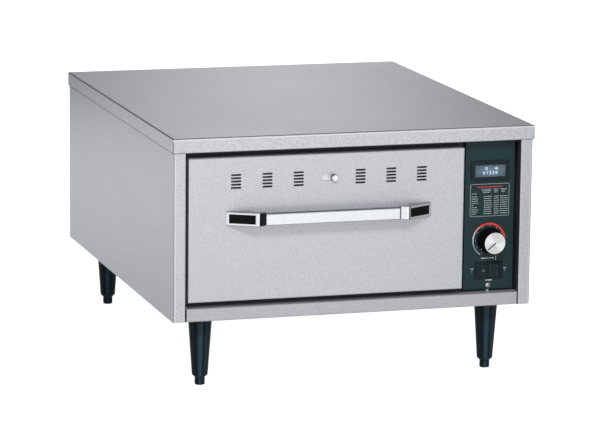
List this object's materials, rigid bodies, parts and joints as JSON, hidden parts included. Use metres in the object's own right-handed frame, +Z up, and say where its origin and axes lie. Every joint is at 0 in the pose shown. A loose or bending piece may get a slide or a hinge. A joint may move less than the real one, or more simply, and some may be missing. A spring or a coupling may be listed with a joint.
{
  "type": "countertop warming drawer",
  "caption": "Freestanding warming drawer: stainless cabinet on legs, insulated roller drawer with food pan, vent slider and bar handle, and controls with a display, dial and rocker switch.",
  "frame": {"origin": "middle of the whole object's footprint, on the worktop under the feet", "axes": "+X to the right seen from the front, +Y to the back, +Z up"},
  "size_m": [0.541, 0.6913, 0.367],
  "materials": {
    "stainless": "fine brushed",
    "plain_sheet": "mill",
    "pan_steel": "satin",
    "chrome": "polished",
    "fastener": "bright",
    "rod_sheath": "dull",
    "panel_paint": "satin",
    "leg_plastic": "gloss",
    "black_plastic": "gloss",
    "dull_black": "matte",
    "screen": "tinted",
    "roller_nylon": "matte",
    "pale_plastic": "matte",
    "circuit_board": "matte",
    "glass_wool": "fibrous",
    "bumper_rubber": "matte"
  },
  "bodies": {
    "cabinet": {"top_cover": "stainless", "left_side_panel": "stainless", "right_side_panel": "stainless", "back_panel": "plain_sheet", "bottom_pan": "plain_sheet", "front_rail": "stainless", "face_frame": "stainless", "drawer_bumpers": "bumper_rubber", "cavity_liner": "plain_sheet", "insulation": "glass_wool", "heating_element": "rod_sheath", "element_clips": "plain_sheet", "sensor_bulb": "fastener", "left_cabinet_slide": "plain_sheet", "right_cabinet_slide": "plain_sheet", "front_roller_axles": "fastener", "divider_wall": "plain_sheet", "control_panel": "panel_paint", "panel_screw": "fastener", "display_bezel": "black_plastic", "display_window": "screen", "display_module": "circuit_board", "thermostat_body": "pale_plastic", "switch_housing": "black_plastic", "terminal_block": "pale_plastic", "cord_gland": "dull_black", "rear_screws": "fastener", "front_left_leg": "leg_plastic", "front_right_leg": "leg_plastic", "rear_left_leg": "leg_plastic", "rear_right_leg": "leg_plastic", "leg_nuts": "fastener"},
    "drawer": {"drawer_front": "stainless", "drawer_inner_panel": "stainless", "drawer_insulation": "glass_wool", "pan_carrier": "plain_sheet", "left_drawer_slide": "plain_sheet", "right_drawer_slide": "plain_sheet", "food_pan": "pan_steel", "left_handle_bracket": "chrome", "right_handle_bracket": "chrome", "handle_inlays": "black_plastic", "handle_bar": "chrome", "handle_screws": "fastener", "rear_roller_axles": "fastener", "shutter_guides": "plain_sheet"},
    "vent_shutter": {"vent_shutter": "plain_sheet", "vent_knob": "chrome"},
    "thermostat_knob": {"thermostat_shaft": "fastener", "knob_body": "black_plastic", "knob_cap": "chrome"},
    "power_rocker": {"power_rocker": "black_plastic"},
    "front_left_roller": {"front_left_roller": "roller_nylon"},
    "front_right_roller": {"front_right_roller": "roller_nylon"},
    "rear_left_roller": {"rear_left_roller": "roller_nylon"},
    "rear_right_roller": {"rear_right_roller": "roller_nylon"},
    "front_left_foot": {"front_left_foot": "leg_plastic"},
    "front_right_foot": {"front_right_foot": "leg_plastic"},
    "rear_left_foot": {"rear_left_foot": "leg_plastic"},
    "rear_right_foot": {"rear_right_foot": "leg_plastic"}
  },
  "joints": [
    {"name": "drawer_slide", "type": "slide", "parent": "cabinet", "child": "drawer", "axis": [0, -1, 0], "range_m": [0, 0.45]},
    {"name": "vent_shutter_slide", "type": "slide", "parent": "drawer", "child": "vent_shutter", "axis": [1, 0, 0], "range_m": [-0.0146, 0]},
    {"name": "thermostat_turn", "type": "hinge", "parent": "cabinet", "child": "thermostat_knob", "pos_m": [0.2099, -0.30865, 0.1967], "axis": [0, 1, 0], "range_deg": [0, 300]},
    {"name": "power_rocker_tip", "type": "hinge", "parent": "cabinet", "child": "power_rocker", "pos_m": [0.2099, -0.30565, 0.1522], "axis": [0, 0, 1], "range_deg": [0, 18]},
    {"name": "front_left_roller_turn", "type": "hinge", "parent": "cabinet", "child": "front_left_roller", "pos_m": [-0.04115, -0.27465, 0.2873], "axis": [1, 0, 0], "continuous": true},
    {"name": "front_right_roller_turn", "type": "hinge", "parent": "cabinet", "child": "front_right_roller", "pos_m": [-0.04115, -0.27465, 0.2873], "axis": [1, 0, 0], "continuous": true},
    {"name": "rear_left_roller_turn", "type": "hinge", "parent": "drawer", "child": "rear_left_roller", "pos_m": [-0.04115, 0.22335, 0.2873], "axis": [1, 0, 0], "continuous": true},
    {"name": "rear_right_roller_turn", "type": "hinge", "parent": "drawer", "child": "rear_right_roller", "pos_m": [-0.04115, 0.22335, 0.2873], "axis": [1, 0, 0], "continuous": true},
    {"name": "front_left_foot_screw", "type": "slide", "parent": "cabinet", "child": "front_left_foot", "axis": [0, 0, -1], "range_m": [0, 0.019]},
    {"name": "front_right_foot_screw", "type": "slide", "parent": "cabinet", "child": "front_right_foot", "axis": [0, 0, -1], "range_m": [0, 0.019]},
    {"name": "rear_left_foot_screw", "type": "slide", "parent": "cabinet", "child": "rear_left_foot", "axis": [0, 0, -1], "range_m": [0, 0.019]},
    {"name": "rear_right_foot_screw", "type": "slide", "parent": "cabinet", "child": "rear_right_foot", "axis": [0, 0, -1], "range_m": [0, 0.019]}
  ],
  "couplings": [
    {"joint": "front_left_roller_turn", "follows": "drawer_slide", "rad_per_m": 64.516},
    {"joint": "front_right_roller_turn", "follows": "drawer_slide", "rad_per_m": 64.516},
    {"joint": "rear_left_roller_turn", "follows": "drawer_slide", "rad_per_m": 64.516},
    {"joint": "rear_right_roller_turn", "follows": "drawer_slide", "rad_per_m": 64.516}
  ]
}
